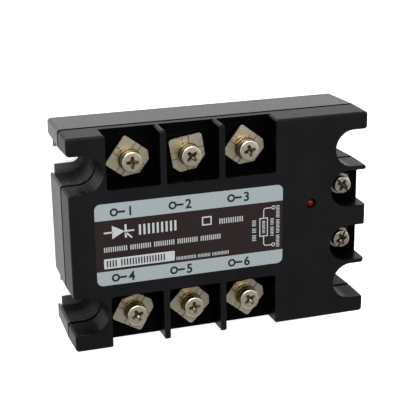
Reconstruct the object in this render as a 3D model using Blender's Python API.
"""Three-phase solid state relay, panel format, built as separate pieces.

Frame: metres. The aluminium base plate lies on z = 0 with the origin at the centre of its
underside. +X runs along the length towards the control terminals, +Y towards the line side,
+Z out of the labelled face. The plastic case is two shells that meet at a shadow gap. Six load
terminals stand in open pockets along the long edges, two control terminals at the +X end.
Each terminal's screw turns about +Z and lifts its washers as it is unscrewed.
"""

import math

import bmesh
import bpy

MM = 0.001

# Case
LENGTH = 105.0 * MM
WIDTH = 74.0 * MM
HEIGHT = 31.0 * MM
CASE_CORNER_R = 1.3 * MM
LEAST_CORNER_R = 0.2 * MM
DRAFT = 0.3 * MM
WALL = 2.0 * MM
GAP = 0.3 * MM

# Aluminium base plate
PLATE_THICKNESS = 3.0 * MM
PLATE_INSET = 1.2 * MM
PLATE_CORNER_R = 1.0 * MM
SLOT_WIDTH = 6.0 * MM
SLOT_CENTRE_X = 45.5 * MM
SLOT_MOUTH_R = 0.3 * MM

# Mounting notches, one at each corner of the case
NOTCH_CENTRE_X = 47.0 * MM
NOTCH_CENTRE_Y = 24.3 * MM
NOTCH_R = 6.3 * MM
NOTCH_MOUTH_R = 1.0 * MM

# Shadow gap between the two shells, and the cover's lip inside the housing
HOUSING_TOP = 19.4 * MM
COVER_BOTTOM = 20.1 * MM
RIM_THICKNESS = 0.9 * MM
LIP_DEPTH = 2.4 * MM
LIP_THICKNESS = 1.0 * MM
FACE_EDGE_DROP = 0.9 * MM
FACE_EDGE_INSET = 0.9 * MM

# Load terminal pockets, three along each long edge
POCKET_COLUMNS = (-30.5 * MM, -10.4 * MM, 9.7 * MM)
POCKET_WIDTH = 18.0 * MM
POCKET_INNER_Y = 18.5 * MM
POCKET_CORNER_R = 0.8 * MM
POCKET_MOUTH_R = 1.0 * MM
POCKET_MOUTH_CLEARANCE = 0.02 * MM
POCKET_OVERRUN = 3.0 * MM
FLOOR_Z = 22.8 * MM
LOAD_SCREW_Y = 26.7 * MM

# Control terminal pockets, open to the +X end
CONTROL_X = 45.3 * MM
CONTROL_Y = 10.0 * MM
CONTROL_POCKET_R = 6.4 * MM
CONTROL_POCKET_END_X = 60.0 * MM

# Label, set in a shallow recess
LABEL_LENGTH = 65.2 * MM
LABEL_WIDTH = 28.2 * MM
LABEL_CENTRE_X = -11.4 * MM
LABEL_CORNER_R = 2.0 * MM
LABEL_THICKNESS = 0.2 * MM
LABEL_RECESS = 0.3 * MM
LABEL_RECESS_MARGIN = 0.15 * MM
LABEL_GAP = 0.05 * MM

# Indicator lamp
LED_X = 31.8 * MM
LED_Y = 5.9 * MM
LED_R = 1.5 * MM
LED_HOLE_R = 1.9 * MM
LED_TOP = 30.4 * MM
LED_BODY_HEIGHT = 5.3 * MM
LED_FLANGE_R = 1.7 * MM
LED_FLANGE_HEIGHT = 1.0 * MM
LED_LEAD_PITCH = 2.0 * MM
LED_LEAD_SIZE = 0.6 * MM
LED_DOME_STEPS = 4

# Cover cavity, above the level of the pocket floors
CAVITY_TOP = 28.6 * MM
CAVITY_HALF_Y = 16.2 * MM
CAVITY_END_X = 50.4 * MM
SIDE_CAVITY_X = (20.6 * MM, 38.6 * MM)
SIDE_CAVITY_Y = 35.0 * MM
CONTROL_WALL_X = 36.8 * MM
CONTROL_WALL_Y = 13.0 * MM
CONTROL_CORNER_Y = 14.6 * MM

# Load terminals: M4 pan-head screw, split spring washer, square clamp washer, busbar
LOAD_SHANK_R = 2.0 * MM
LOAD_HEAD_R = 3.5 * MM
LOAD_HEAD_HEIGHT = 3.5 * MM
LOAD_SHANK_LENGTH = 7.5 * MM
LOAD_HOLE_R = 2.4 * MM
CLAMP_SIZE = 11.5 * MM
CLAMP_THICKNESS = 0.9 * MM
CLAMP_CORNER_R = 1.0 * MM
CLAMP_CUT_R = 0.3 * MM
CLAMP_LONG_CUT = 3.9 * MM
CLAMP_SHORT_CUT = 2.1 * MM
SPRING_R = 3.8 * MM
SPRING_HOLE_R = 2.3 * MM
SPRING_THICKNESS = 0.9 * MM
SPRING_SPLIT_DEG = 14.0
BAR_THICKNESS = 0.8 * MM
BAR_WIDTH = 7.6 * MM
BAR_OUTER_Y = 30.7 * MM
BAR_LEG_Y = 22.4 * MM
BAR_FOOT_LENGTH = 5.5 * MM

# Angle of each clamp washer about its screw, and which neighbour of the long cut is trimmed
CLAMP_POSES = ((-37.0, 1), (9.0, -1), (-38.0, 1), (150.0, -1), (136.0, -1), (141.0, -1))
RECESS_ANGLES = (0.0, 41.0, 14.0, 24.0, 8.0, 35.0)

# Control terminals: M3.5 pan-head screw, flat washer, pin
CONTROL_SHANK_R = 1.75 * MM
CONTROL_HEAD_R = 3.05 * MM
CONTROL_HEAD_HEIGHT = 2.2 * MM
CONTROL_SHANK_LENGTH = 6.0 * MM
CONTROL_HOLE_R = 2.15 * MM
CONTROL_WASHER_R = 3.7 * MM
CONTROL_WASHER_THICKNESS = 0.5 * MM
PIN_THICKNESS = 0.6 * MM
PIN_WIDTH = 6.4 * MM
PIN_OUTER_X = 48.9 * MM
PIN_LEG_X = 40.4 * MM
CONTROL_RECESS_ANGLES = (62.0, 20.0)

# Cross recess in every screw head
RECESS_LENGTH = 3.9 * MM
RECESS_WIDTH = 0.95 * MM
RECESS_DEPTH = 1.3 * MM
HEAD_DOME = 0.45 * MM
HEAD_SIDE_SHARE = 0.6
HEAD_SHOULDER = 0.35 * MM
HEAD_CROWN_SHARE = 0.55
HEAD_CROWN_DROP = 0.1 * MM
SHANK_CHAMFER = 0.5 * MM

# Power stage inside the housing
CERAMIC_LENGTH = 41.5 * MM
CERAMIC_WIDTH = 17.0 * MM
CERAMIC_THICKNESS = 0.8 * MM
CHIP_SIZE = (9.0 * MM, 15.0 * MM, 1.2 * MM)
RESIN_BOTTOM = 6.2 * MM
RESIN_TOP = 10.2 * MM
BOARD_X = (-44.0 * MM, 48.0 * MM)
BOARD_HALF_Y = 15.0 * MM
BOARD_THICKNESS = 1.6 * MM
COUPLER_SIZE = (8.9 * MM, 6.5 * MM, 3.5 * MM)
COUPLER_Y = -8.0 * MM
CAPACITOR_SIZE = (13.0 * MM, 5.0 * MM, 11.0 * MM)
CAPACITOR_Y = 5.0 * MM
COMPONENT_CORNER_R = 0.5 * MM

SEGMENTS_ROUND = 24
SEGMENTS_NOTCH_END = 8
SEGMENTS_SLOT_END = 5
SEGMENTS_CORNER = 3
ROUND_END_SHARE = 0.999
SMOOTH_ANGLE_DEG = 40.0
OVERCUT = 1.0 * MM


def clear_scene():
    for obj in list(bpy.data.objects):
        bpy.data.objects.remove(obj, do_unlink=True)


def principled(name, colour, roughness, metallic=0.0):
    """Return a material with one Principled BSDF."""
    material = bpy.data.materials.new(name)
    material.use_nodes = True
    shader = material.node_tree.nodes["Principled BSDF"]
    shader.inputs["Base Color"].default_value = (*colour, 1.0)
    shader.inputs["Roughness"].default_value = roughness
    shader.inputs["Metallic"].default_value = metallic
    return material


def rounded(points, radii, segments):
    """Round each corner of a polygon with its own radius and number of arc segments."""
    result = []
    count = len(points)
    for i, (px, py) in enumerate(points):
        ax, ay = points[i - 1]
        bx, by = points[(i + 1) % count]
        radius = radii[i]
        la = math.hypot(ax - px, ay - py)
        lb = math.hypot(bx - px, by - py)
        ux, uy = (ax - px) / la, (ay - py) / la
        vx, vy = (bx - px) / lb, (by - py) / lb
        half = math.acos(max(-1.0, min(1.0, ux * vx + uy * vy))) / 2.0
        reach = radius / math.tan(half)
        start = (px + ux * reach, py + uy * reach)
        mx, my = ux + vx, uy + vy
        ml = math.hypot(mx, my)
        away = radius / math.sin(half)
        cx, cy = px + mx / ml * away, py + my / ml * away
        begin = math.atan2(start[1] - cy, start[0] - cx)
        turn = math.pi - 2.0 * half
        if ux * vy - uy * vx > 0.0:
            turn = -turn
        for k in range(segments[i] + 1):
            angle = begin + turn * k / segments[i]
            result.append((cx + radius * math.cos(angle), cy + radius * math.sin(angle)))
    return result


def rectangle(x0, x1, y0, y1, radius=0.0):
    points = [(x0, y0), (x1, y0), (x1, y1), (x0, y1)]
    if radius <= 0.0:
        return points
    return rounded(points, [radius] * 4, [SEGMENTS_CORNER] * 4)


def circle(x, y, radius, segments=SEGMENTS_ROUND):
    step = 2.0 * math.pi / segments
    return [(x + radius * math.cos(i * step), y + radius * math.sin(i * step)) for i in range(segments)]


def case_outline(inset, notch_inset=None):
    """Outline of the case with its four notches, moved inwards by inset."""
    if notch_inset is None:
        notch_inset = inset
    hx = LENGTH / 2.0 - inset
    hy = WIDTH / 2.0 - inset
    corner = max(CASE_CORNER_R - inset, LEAST_CORNER_R)
    mouth = max(NOTCH_MOUTH_R - inset, LEAST_CORNER_R)
    half = NOTCH_R + notch_inset
    end_x = NOTCH_CENTRE_X - half
    end_r = half * ROUND_END_SHARE
    points, radii, segments = [], [], []

    def corner_point(x, y, radius, count):
        points.append((x, y))
        radii.append(radius)
        segments.append(count)

    def notch(sx, first, second):
        corner_point(sx * hx, first, mouth, SEGMENTS_CORNER)
        corner_point(sx * end_x, first, end_r, SEGMENTS_NOTCH_END)
        corner_point(sx * end_x, second, end_r, SEGMENTS_NOTCH_END)
        corner_point(sx * hx, second, mouth, SEGMENTS_CORNER)

    corner_point(hx, -hy, corner, SEGMENTS_CORNER)
    notch(1.0, -NOTCH_CENTRE_Y - half, -NOTCH_CENTRE_Y + half)
    notch(1.0, NOTCH_CENTRE_Y - half, NOTCH_CENTRE_Y + half)
    corner_point(hx, hy, corner, SEGMENTS_CORNER)
    corner_point(-hx, hy, corner, SEGMENTS_CORNER)
    notch(-1.0, NOTCH_CENTRE_Y + half, NOTCH_CENTRE_Y - half)
    notch(-1.0, -NOTCH_CENTRE_Y + half, -NOTCH_CENTRE_Y - half)
    corner_point(-hx, -hy, corner, SEGMENTS_CORNER)
    return rounded(points, radii, segments)


def add_loft(mesh, rings):
    """Add a closed body through rings of (outline, z) with equal point counts."""
    loops = [[mesh.verts.new((x, y, z)) for x, y in outline] for outline, z in rings]
    for low, high in zip(loops, loops[1:]):
        count = len(low)
        for i in range(count):
            j = (i + 1) % count
            mesh.faces.new((low[i], low[j], high[j], high[i]))
    mesh.faces.new(list(reversed(loops[0])))
    mesh.faces.new(loops[-1])


def add_prism(mesh, outline, z0, z1):
    add_loft(mesh, [(outline, z0), (outline, z1)])


def add_box(mesh, x0, x1, y0, y1, z0, z1):
    add_prism(mesh, rectangle(x0, x1, y0, y1), z0, z1)


def add_lathe(mesh, profile, segments=SEGMENTS_ROUND):
    """Revolve a profile of (radius, z) about Z; its first and last points lie on the axis."""
    bottom = mesh.verts.new((0.0, 0.0, profile[0][1]))
    top = mesh.verts.new((0.0, 0.0, profile[-1][1]))
    loops = []
    for radius, z in profile[1:-1]:
        loops.append([mesh.verts.new((x, y, z)) for x, y in circle(0.0, 0.0, radius, segments)])
    for i in range(segments):
        j = (i + 1) % segments
        mesh.faces.new((bottom, loops[0][j], loops[0][i]))
        mesh.faces.new((top, loops[-1][i], loops[-1][j]))
        for low, high in zip(loops, loops[1:]):
            mesh.faces.new((low[i], low[j], high[j], high[i]))


def finish(name, mesh, material=None, parent=None, location=(0.0, 0.0, 0.0), turn=0.0):
    """Turn a bmesh into a named object, with its faces pointing out."""
    bmesh.ops.recalc_face_normals(mesh, faces=mesh.faces)
    data = bpy.data.meshes.new(name)
    mesh.to_mesh(data)
    mesh.free()
    return place(name, data, material, parent, location, turn)


def place(name, data, material=None, parent=None, location=(0.0, 0.0, 0.0), turn=0.0):
    obj = bpy.data.objects.new(name, data)
    bpy.context.scene.collection.objects.link(obj)
    obj.location = location
    obj.rotation_euler = (0.0, 0.0, math.radians(turn))
    obj.parent = parent
    if material is not None and not data.materials:
        data.materials.append(material)
    return obj


def empty(name, location, parent=None):
    obj = bpy.data.objects.new(name, None)
    bpy.context.scene.collection.objects.link(obj)
    obj.location = location
    obj.parent = parent
    return obj


def tool(name, mesh):
    """A hidden body that shapes another piece and isn't a piece itself."""
    obj = finish(name, mesh)
    obj.hide_render = True
    obj.display_type = "WIRE"
    return obj


def combine(target, other, operation):
    modifier = target.modifiers.new(other.name, "BOOLEAN")
    modifier.operation = operation
    modifier.object = other


def smooth(data):
    data.shade_smooth()
    data.set_sharp_from_angle(angle=math.radians(SMOOTH_ANGLE_DEG))


def load_terminals():
    """Screw centre of each load terminal: the line row first, then the load row."""
    line_row = [(x, LOAD_SCREW_Y) for x in POCKET_COLUMNS]
    load_row = [(x, -LOAD_SCREW_Y) for x in POCKET_COLUMNS]
    return line_row + load_row


def control_terminals():
    return [(CONTROL_X, CONTROL_Y), (CONTROL_X, -CONTROL_Y)]


def make_base_plate(material):
    hx = LENGTH / 2.0 - PLATE_INSET
    hy = WIDTH / 2.0 - PLATE_INSET
    half = SLOT_WIDTH / 2.0
    end_x = SLOT_CENTRE_X - half
    points = [(hx, -hy)]
    radii = [PLATE_CORNER_R]
    segments = [SEGMENTS_CORNER]
    sides = [(1.0, -1.0, 1.0), (1.0, 1.0, 1.0), (-1.0, 1.0, -1.0), (-1.0, -1.0, -1.0)]
    for i, (sx, sy, order) in enumerate(sides):
        y = sy * NOTCH_CENTRE_Y
        points += [(sx * hx, y - order * half), (sx * end_x, y - order * half)]
        points += [(sx * end_x, y + order * half), (sx * hx, y + order * half)]
        end_r = half * ROUND_END_SHARE
        radii += [SLOT_MOUTH_R, end_r, end_r, SLOT_MOUTH_R]
        segments += [1, SEGMENTS_SLOT_END, SEGMENTS_SLOT_END, 1]
        if i == 1:
            points += [(hx, hy), (-hx, hy)]
            radii += [PLATE_CORNER_R] * 2
            segments += [SEGMENTS_CORNER] * 2
    points.append((-hx, -hy))
    radii.append(PLATE_CORNER_R)
    segments.append(SEGMENTS_CORNER)
    mesh = bmesh.new()
    add_prism(mesh, rounded(points, radii, segments), 0.0, PLATE_THICKNESS)
    finish("base_plate", mesh, material)


def make_lower_housing(material):
    """Open frame that stands round the base plate and carries the cover on its rim."""
    mesh = bmesh.new()
    add_loft(mesh, [(case_outline(DRAFT), GAP), (case_outline(0.0), HOUSING_TOP)])
    housing = finish("lower_housing", mesh, material)
    mesh = bmesh.new()
    add_prism(mesh, case_outline(WALL), -OVERCUT, HOUSING_TOP + OVERCUT)
    combine(housing, tool("housing_cavity", mesh), "DIFFERENCE")
    mesh = bmesh.new()
    seat_x = LENGTH / 2.0 - PLATE_INSET + GAP
    seat_y = WIDTH / 2.0 - PLATE_INSET + GAP
    add_box(mesh, -seat_x, seat_x, -seat_y, seat_y, -OVERCUT, PLATE_THICKNESS + GAP)
    combine(housing, tool("plate_seat", mesh), "DIFFERENCE")
    mesh = bmesh.new()
    add_prism(mesh, case_outline(RIM_THICKNESS), lip_bottom() - GAP, HOUSING_TOP + OVERCUT)
    combine(housing, tool("rim_rebate", mesh), "DIFFERENCE")


def lip_bottom():
    return COVER_BOTTOM - LIP_DEPTH


def cover_cavity_outline():
    """Space behind the label and beside the end notches, clear of every pocket wall."""
    x0, x1 = SIDE_CAVITY_X
    upper = [
        (CONTROL_WALL_X, CONTROL_WALL_Y),
        (x1, CONTROL_CORNER_Y),
        (x1, SIDE_CAVITY_Y),
        (x0, SIDE_CAVITY_Y),
        (x0, CAVITY_HALF_Y),
        (-CAVITY_END_X, CAVITY_HALF_Y),
    ]
    lower = [(x, -y) for x, y in reversed(upper)]
    return upper + lower


def cover_side_y(z):
    """Half width of the drafted cover at height z."""
    rise = (z - COVER_BOTTOM) / (HEIGHT - FACE_EDGE_DROP - COVER_BOTTOM)
    return WIDTH / 2.0 - DRAFT * rise


def load_pockets_outline(side, edge_y):
    """The three pockets of one long edge, joined outside the case, with rounded mouths."""
    half = POCKET_WIDTH / 2.0
    start_x = POCKET_COLUMNS[0] - half - POCKET_OVERRUN
    end_x = POCKET_COLUMNS[-1] + half + POCKET_OVERRUN
    far_y = WIDTH / 2.0 + POCKET_OVERRUN
    points = [(start_x, side * far_y), (start_x, side * edge_y)]
    radii = [POCKET_CORNER_R] * 2
    for x in POCKET_COLUMNS:
        points += [(x - half, side * edge_y), (x - half, side * POCKET_INNER_Y)]
        points += [(x + half, side * POCKET_INNER_Y), (x + half, side * edge_y)]
        radii += [POCKET_MOUTH_R, POCKET_CORNER_R, POCKET_CORNER_R, POCKET_MOUTH_R]
    points += [(end_x, side * edge_y), (end_x, side * far_y)]
    radii += [POCKET_CORNER_R] * 2
    return rounded(points, radii, [SEGMENTS_CORNER] * len(points))


def control_pocket_outline(x, y):
    radius = CONTROL_POCKET_R
    end_r = radius * ROUND_END_SHARE
    points = [
        (CONTROL_POCKET_END_X, y - radius),
        (CONTROL_POCKET_END_X, y + radius),
        (x - radius, y + radius),
        (x - radius, y - radius),
    ]
    radii = [POCKET_CORNER_R, POCKET_CORNER_R, end_r, end_r]
    return rounded(points, radii, [1, 1, SEGMENTS_NOTCH_END, SEGMENTS_NOTCH_END])


def make_top_cover(material):
    """Cover with the terminal pockets, a lip that locates it, and the recess for the label."""
    mesh = bmesh.new()
    add_loft(
        mesh,
        [
            (case_outline(0.0), COVER_BOTTOM),
            (case_outline(DRAFT, DRAFT / 2.0), HEIGHT - FACE_EDGE_DROP),
            (case_outline(DRAFT + FACE_EDGE_INSET, DRAFT), HEIGHT),
        ],
    )
    cover = finish("top_cover", mesh, material)

    mesh = bmesh.new()
    add_prism(mesh, case_outline(RIM_THICKNESS + GAP), lip_bottom(), COVER_BOTTOM + GAP)
    lip = tool("lip_body", mesh)
    mesh = bmesh.new()
    add_prism(
        mesh, case_outline(RIM_THICKNESS + GAP + LIP_THICKNESS), lip_bottom() - OVERCUT, COVER_BOTTOM
    )
    combine(lip, tool("lip_inside", mesh), "DIFFERENCE")
    combine(cover, lip, "UNION")

    mesh = bmesh.new()
    for side in (1.0, -1.0):
        rings = []
        for z in (FLOOR_Z, HEIGHT + OVERCUT):
            rings.append((load_pockets_outline(side, cover_side_y(z) + POCKET_MOUTH_CLEARANCE), z))
        add_loft(mesh, rings)
    for x, y in control_terminals():
        add_prism(mesh, control_pocket_outline(x, y), FLOOR_Z, HEIGHT + OVERCUT)
    combine(cover, tool("terminal_pockets", mesh), "DIFFERENCE")

    mesh = bmesh.new()
    add_prism(mesh, cover_cavity_outline(), lip_bottom() - OVERCUT, CAVITY_TOP)
    combine(cover, tool("cover_cavity", mesh), "DIFFERENCE")

    mesh = bmesh.new()
    for x, y in load_terminals():
        add_prism(mesh, circle(x, y, LOAD_HOLE_R), COVER_BOTTOM - OVERCUT, FLOOR_Z + OVERCUT)
        leg_y = math.copysign(BAR_LEG_Y, y)
        half_x = BAR_WIDTH / 2.0 + GAP
        half_y = BAR_THICKNESS / 2.0 + GAP
        add_box(
            mesh, x - half_x, x + half_x, leg_y - half_y, leg_y + half_y,
            COVER_BOTTOM - OVERCUT, FLOOR_Z + OVERCUT,
        )
    for x, y in control_terminals():
        add_prism(mesh, circle(x, y, CONTROL_HOLE_R), COVER_BOTTOM - OVERCUT, FLOOR_Z + OVERCUT)
        half_x = PIN_THICKNESS / 2.0 + GAP
        half_y = PIN_WIDTH / 2.0 + GAP
        add_box(
            mesh, PIN_LEG_X - half_x, PIN_LEG_X + half_x, y - half_y, y + half_y,
            COVER_BOTTOM - OVERCUT, FLOOR_Z + OVERCUT,
        )
    add_prism(mesh, circle(LED_X, LED_Y, LED_HOLE_R), CAVITY_TOP - OVERCUT, HEIGHT + OVERCUT)
    combine(cover, tool("terminal_openings", mesh), "DIFFERENCE")

    mesh = bmesh.new()
    add_prism(mesh, label_outline(LABEL_RECESS_MARGIN), HEIGHT - LABEL_RECESS, HEIGHT + OVERCUT)
    combine(cover, tool("label_recess", mesh), "DIFFERENCE")


def label_outline(margin):
    hx = LABEL_LENGTH / 2.0 + margin
    hy = LABEL_WIDTH / 2.0 + margin
    radius = LABEL_CORNER_R + margin
    return rectangle(LABEL_CENTRE_X - hx, LABEL_CENTRE_X + hx, -hy, hy, radius)


def make_label(material):
    bottom = HEIGHT - LABEL_RECESS + LABEL_GAP
    mesh = bmesh.new()
    add_prism(mesh, label_outline(0.0), bottom, bottom + LABEL_THICKNESS)
    finish("label", mesh, material)


def make_status_led(material, board_top):
    """Domed lamp behind the hole in the cover, standing on two leads."""
    base = LED_TOP - LED_BODY_HEIGHT
    shoulder = LED_TOP - LED_R
    flange_top = base + LED_FLANGE_HEIGHT
    profile = [(0.0, base), (LED_FLANGE_R, base), (LED_FLANGE_R, flange_top), (LED_R, flange_top)]
    for k in range(LED_DOME_STEPS):
        angle = math.pi / 2.0 * k / LED_DOME_STEPS
        profile.append((LED_R * math.cos(angle), shoulder + LED_R * math.sin(angle)))
    profile.append((0.0, LED_TOP))
    mesh = bmesh.new()
    add_lathe(mesh, profile, SEGMENTS_ROUND)
    lamp = finish("status_led", mesh, material, location=(LED_X, LED_Y, 0.0))
    mesh = bmesh.new()
    half = LED_LEAD_SIZE / 2.0
    for side in (-1.0, 1.0):
        x = LED_X + side * LED_LEAD_PITCH / 2.0
        add_box(mesh, x - half, x + half, LED_Y - half, LED_Y + half, board_top + GAP, base + half)
    combine(lamp, tool("led_leads", mesh), "UNION")
    smooth(lamp.data)


def make_power_stage(materials):
    """One insulator and one thyristor pair for each phase, on the base plate."""
    ceramic_bottom = PLATE_THICKNESS + GAP
    chip_bottom = ceramic_bottom + CERAMIC_THICKNESS + GAP
    half_x = CERAMIC_WIDTH / 2.0
    half_y = CERAMIC_LENGTH / 2.0
    for number, x in enumerate(POCKET_COLUMNS, start=1):
        mesh = bmesh.new()
        add_box(
            mesh, x - half_x, x + half_x, -half_y, half_y,
            ceramic_bottom, ceramic_bottom + CERAMIC_THICKNESS,
        )
        finish(f"ceramic_insulator_{number}", mesh, materials["ceramic"])
        mesh = bmesh.new()
        sx, sy, sz = CHIP_SIZE
        add_box(mesh, x - sx / 2.0, x + sx / 2.0, -sy / 2.0, sy / 2.0, chip_bottom, chip_bottom + sz)
        finish(f"thyristor_pair_{number}", mesh, materials["silicon"])
    return chip_bottom


def make_potting_resin(material):
    """Slab of resin over the power stage, with a sleeve round each busbar."""
    mesh = bmesh.new()
    add_prism(mesh, case_outline(WALL + GAP), RESIN_BOTTOM, RESIN_TOP)
    resin = finish("potting_resin", mesh, material)
    mesh = bmesh.new()
    half_x = BAR_WIDTH / 2.0 + GAP
    half_y = BAR_THICKNESS / 2.0 + GAP
    for x, y in load_terminals():
        leg_y = math.copysign(BAR_LEG_Y, y)
        add_box(
            mesh, x - half_x, x + half_x, leg_y - half_y, leg_y + half_y,
            RESIN_BOTTOM - OVERCUT, RESIN_TOP + OVERCUT,
        )
    combine(resin, tool("busbar_sleeves", mesh), "DIFFERENCE")


def make_circuit_board(materials):
    """Control board on the resin, with an opto-coupler and a snubber capacitor for each phase."""
    bottom = RESIN_TOP + GAP
    top = bottom + BOARD_THICKNESS
    mesh = bmesh.new()
    add_box(mesh, BOARD_X[0], BOARD_X[1], -BOARD_HALF_Y, BOARD_HALF_Y, bottom, top)
    finish("circuit_board", mesh, materials["board"])
    parts = (
        ("opto_coupler", COUPLER_SIZE, COUPLER_Y, "resin"),
        ("snubber_capacitor", CAPACITOR_SIZE, CAPACITOR_Y, "capacitor"),
    )
    for name, (sx, sy, sz), y, key in parts:
        for number, x in enumerate(POCKET_COLUMNS, start=1):
            mesh = bmesh.new()
            x0, x1 = x - sx / 2.0, x + sx / 2.0
            outline = rectangle(x0, x1, y - sy / 2.0, y + sy / 2.0, COMPONENT_CORNER_R)
            add_prism(mesh, outline, top + GAP, top + GAP + sz)
            finish(f"{name}_{number}", mesh, materials[key])
    return top


def strip_profile(centreline, thickness):
    """Outline of a bent flat strip: its centreline thickened to both sides, bends mitred."""
    normals = []
    for (a0, z0), (a1, z1) in zip(centreline, centreline[1:]):
        length = math.hypot(a1 - a0, z1 - z0)
        normals.append(((z0 - z1) / length, (a1 - a0) / length))
    left, right = [], []
    for i, (a, z) in enumerate(centreline):
        before = normals[max(i - 1, 0)]
        after = normals[min(i, len(normals) - 1)]
        reach = thickness / 2.0 / (1.0 + before[0] * after[0] + before[1] * after[1])
        da = (before[0] + after[0]) * reach
        dz = (before[1] + after[1]) * reach
        left.append((a + da, z + dz))
        right.append((a - da, z - dz))
    return left + list(reversed(right))


def add_strip(mesh, centreline, half_width, thickness, across):
    """Bent flat strip whose centreline runs along the across axis and z."""
    profile = strip_profile(centreline, thickness)
    near, far = [], []
    for a, z in profile:
        if across == "y":
            near.append(mesh.verts.new((-half_width, a, z)))
            far.append(mesh.verts.new((half_width, a, z)))
        else:
            near.append(mesh.verts.new((a, -half_width, z)))
            far.append(mesh.verts.new((a, half_width, z)))
    mesh.faces.new(near)
    mesh.faces.new(list(reversed(far)))
    for i in range(len(profile)):
        j = (i + 1) % len(profile)
        mesh.faces.new((near[i], far[i], far[j], near[j]))


def make_busbars(material, foot_bottom):
    """Tinned bar under each clamp washer, bent down through the floor to its insulator."""
    half_t = BAR_THICKNESS / 2.0
    tab_z = FLOOR_Z + GAP + half_t
    foot_z = foot_bottom + half_t
    for number, (x, y) in enumerate(load_terminals(), start=1):
        side = math.copysign(1.0, y)
        line = [
            (side * BAR_OUTER_Y, tab_z),
            (side * BAR_LEG_Y, tab_z),
            (side * BAR_LEG_Y, foot_z),
            (side * (BAR_LEG_Y - BAR_FOOT_LENGTH), foot_z),
        ]
        mesh = bmesh.new()
        add_strip(mesh, line, BAR_WIDTH / 2.0, BAR_THICKNESS, "y")
        bar = finish(f"load_busbar_{number}", mesh, material, location=(x, 0.0, 0.0))
        mesh = bmesh.new()
        add_prism(mesh, circle(x, y, LOAD_HOLE_R), FLOOR_Z - OVERCUT, tab_z + OVERCUT)
        combine(bar, tool(f"busbar_hole_{number}", mesh), "DIFFERENCE")


def make_control_pins(material, board_top):
    """Tinned pin under each control screw, bent down to the board."""
    half_t = PIN_THICKNESS / 2.0
    tab_z = FLOOR_Z + GAP + half_t
    for number, (x, y) in enumerate(control_terminals(), start=1):
        line = [(PIN_OUTER_X, tab_z), (PIN_LEG_X, tab_z), (PIN_LEG_X, board_top + GAP)]
        mesh = bmesh.new()
        add_strip(mesh, line, PIN_WIDTH / 2.0, PIN_THICKNESS, "x")
        pin = finish(f"control_pin_{number}", mesh, material, location=(0.0, y, 0.0))
        mesh = bmesh.new()
        add_prism(mesh, circle(x, y, CONTROL_HOLE_R), FLOOR_Z - OVERCUT, tab_z + OVERCUT)
        combine(pin, tool(f"pin_hole_{number}", mesh), "DIFFERENCE")


def clamp_mesh(side):
    """Square clamp washer with one corner cut long and a neighbour cut short."""
    h = CLAMP_SIZE / 2.0
    long_cut, short_cut = CLAMP_LONG_CUT, CLAMP_SHORT_CUT
    points = [
        (h, -h + long_cut),
        (h, h - short_cut),
        (h - short_cut, h),
        (-h, h),
        (-h, -h),
        (h - long_cut, -h),
    ]
    if side < 0:
        points = [(-y, -x) for x, y in points]
    radii = [CLAMP_CUT_R] * 3 + [CLAMP_CORNER_R] * 2 + [CLAMP_CUT_R]
    mesh = bmesh.new()
    outline = rounded(points, radii, [1, 1, 1, SEGMENTS_CORNER, SEGMENTS_CORNER, 1])
    add_prism(mesh, outline, 0.0, CLAMP_THICKNESS)
    return mesh


def make_clamp(number, parent, material):
    turn, side = CLAMP_POSES[number - 1]
    clamp = finish(f"clamp_washer_{number}", clamp_mesh(side), material, parent, turn=turn)
    mesh = bmesh.new()
    add_prism(mesh, circle(0.0, 0.0, LOAD_HOLE_R), -OVERCUT, CLAMP_THICKNESS + OVERCUT)
    hole = tool(f"clamp_hole_{number}", mesh)
    hole.parent = parent
    combine(clamp, hole, "DIFFERENCE")


def add_ring(mesh, inner, outer, z0, z1, start, end, segments, closed):
    """Flat ring, or an open ring between two angles."""
    count = segments if closed else segments + 1
    corners = []
    for i in range(count):
        angle = start + (end - start) * i / segments
        c, s = math.cos(angle), math.sin(angle)
        quad = [(inner, z0), (outer, z0), (outer, z1), (inner, z1)]
        corners.append([mesh.verts.new((r * c, r * s, z)) for r, z in quad])
    pairs = list(zip(corners, corners[1:]))
    if closed:
        pairs.append((corners[-1], corners[0]))
    for a, b in pairs:
        for k in range(4):
            m = (k + 1) % 4
            mesh.faces.new((a[k], a[m], b[m], b[k]))
    if not closed:
        mesh.faces.new(corners[0])
        mesh.faces.new(list(reversed(corners[-1])))


def spring_data():
    """Split spring washer, shared by all six load terminals."""
    half = math.radians(SPRING_SPLIT_DEG) / 2.0
    mesh = bmesh.new()
    add_ring(
        mesh, SPRING_HOLE_R, SPRING_R, 0.0, SPRING_THICKNESS, half, 2.0 * math.pi - half,
        SEGMENTS_ROUND, closed=False,
    )
    return to_data("spring_washer", mesh)


def washer_data():
    """Flat round washer of the control terminals."""
    mesh = bmesh.new()
    add_ring(
        mesh, CONTROL_HOLE_R, CONTROL_WASHER_R, 0.0, CONTROL_WASHER_THICKNESS, 0.0, 2.0 * math.pi,
        SEGMENTS_ROUND, closed=True,
    )
    return to_data("control_washer", mesh)


def to_data(name, mesh):
    bmesh.ops.recalc_face_normals(mesh, faces=mesh.faces)
    data = bpy.data.meshes.new(name)
    mesh.to_mesh(data)
    mesh.free()
    smooth(data)
    return data


def screw_profile(shank_r, head_r, head_height, shank_length):
    """Pan-head screw with the underside of its head on z = 0."""
    rim = head_height - HEAD_DOME
    return [
        (0.0, -shank_length),
        (shank_r - SHANK_CHAMFER, -shank_length),
        (shank_r, -shank_length + SHANK_CHAMFER),
        (shank_r, 0.0),
        (head_r, 0.0),
        (head_r, rim * HEAD_SIDE_SHARE),
        (head_r - HEAD_SHOULDER, rim),
        (head_r * HEAD_CROWN_SHARE, head_height - HEAD_CROWN_DROP),
        (0.0, head_height),
    ]


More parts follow.
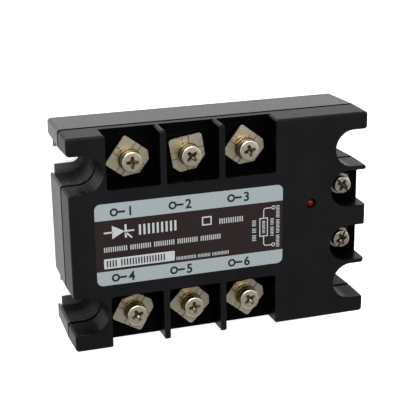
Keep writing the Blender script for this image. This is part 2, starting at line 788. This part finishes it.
def make_screw(name, profile, head_height, parent, material, turn):
    mesh = bmesh.new()
    add_lathe(mesh, profile)
    screw = finish(name, mesh, material, parent)
    mesh = bmesh.new()
    half_l, half_w = RECESS_LENGTH / 2.0, RECESS_WIDTH / 2.0
    floor = head_height - RECESS_DEPTH
    cross = [
        (half_l, -half_w), (half_l, half_w), (half_w, half_w), (half_w, half_l),
        (-half_w, half_l), (-half_w, half_w), (-half_l, half_w), (-half_l, -half_w),
        (-half_w, -half_w), (-half_w, -half_l), (half_w, -half_l), (half_w, -half_w),
    ]
    add_prism(mesh, cross, floor, head_height + OVERCUT)
    recess = tool(f"{name}_recess", mesh)
    recess.parent = parent
    recess.rotation_euler = (0.0, 0.0, math.radians(turn))
    combine(screw, recess, "DIFFERENCE")
    smooth(screw.data)


def make_load_terminals(materials):
    clamp_z = FLOOR_Z + GAP + BAR_THICKNESS + GAP
    spring_z = clamp_z + CLAMP_THICKNESS + GAP
    head_z = spring_z + SPRING_THICKNESS + GAP
    spring = spring_data()
    profile = screw_profile(LOAD_SHANK_R, LOAD_HEAD_R, LOAD_HEAD_HEIGHT, LOAD_SHANK_LENGTH)
    for number, (x, y) in enumerate(load_terminals(), start=1):
        axis = empty(f"load_axis_{number}", (x, y, clamp_z))
        make_clamp(number, axis, materials["nickel"])
        turn = CLAMP_POSES[number - 1][0]
        place(
            f"spring_washer_{number}", spring, materials["spring_steel"], axis,
            (0.0, 0.0, spring_z - clamp_z), turn,
        )
        head = empty(f"load_screw_axis_{number}", (0.0, 0.0, head_z - clamp_z), axis)
        make_screw(
            f"load_screw_{number}", profile, LOAD_HEAD_HEIGHT, head,
            materials["nickel"], RECESS_ANGLES[number - 1],
        )


def make_control_terminals(materials):
    washer_z = FLOOR_Z + GAP + PIN_THICKNESS + GAP
    head_z = washer_z + CONTROL_WASHER_THICKNESS + GAP
    washer = washer_data()
    profile = screw_profile(CONTROL_SHANK_R, CONTROL_HEAD_R, CONTROL_HEAD_HEIGHT, CONTROL_SHANK_LENGTH)
    for number, (x, y) in enumerate(control_terminals(), start=1):
        axis = empty(f"control_axis_{number}", (x, y, washer_z))
        place(f"control_washer_{number}", washer, materials["nickel"], axis)
        head = empty(f"control_screw_axis_{number}", (0.0, 0.0, head_z - washer_z), axis)
        make_screw(
            f"control_screw_{number}", profile, CONTROL_HEAD_HEIGHT, head,
            materials["nickel"], CONTROL_RECESS_ANGLES[number - 1],
        )


def make_materials():
    return {
        "plastic": principled("black_plastic", (0.016, 0.016, 0.018), 0.5),
        "aluminium": principled("aluminium", (0.72, 0.72, 0.70), 0.4, 1.0),
        "label": principled("label_film", (0.33, 0.38, 0.40), 0.35),
        "lamp": principled("red_lens", (0.35, 0.01, 0.015), 0.2),
        "nickel": principled("nickel_plate", (0.62, 0.58, 0.48), 0.3, 1.0),
        "spring_steel": principled("spring_steel", (0.45, 0.35, 0.18), 0.3, 1.0),
        "tin": principled("tinned_copper", (0.66, 0.64, 0.60), 0.35, 1.0),
        "ceramic": principled("alumina", (0.85, 0.85, 0.82), 0.6),
        "silicon": principled("thyristor", (0.08, 0.08, 0.09), 0.4),
        "resin": principled("black_epoxy", (0.02, 0.02, 0.02), 0.35),
        "board": principled("glass_epoxy", (0.02, 0.12, 0.05), 0.5),
        "capacitor": principled("capacitor_case", (0.45, 0.10, 0.04), 0.45),
    }


def main():
    clear_scene()
    materials = make_materials()
    make_base_plate(materials["aluminium"])
    make_lower_housing(materials["plastic"])
    make_top_cover(materials["plastic"])
    make_label(materials["label"])
    foot_bottom = make_power_stage(materials)
    make_potting_resin(materials["resin"])
    board_top = make_circuit_board(materials)
    make_status_led(materials["lamp"], board_top)
    make_busbars(materials["tin"], foot_bottom)
    make_control_pins(materials["tin"], board_top)
    make_load_terminals(materials)
    make_control_terminals(materials)


main()
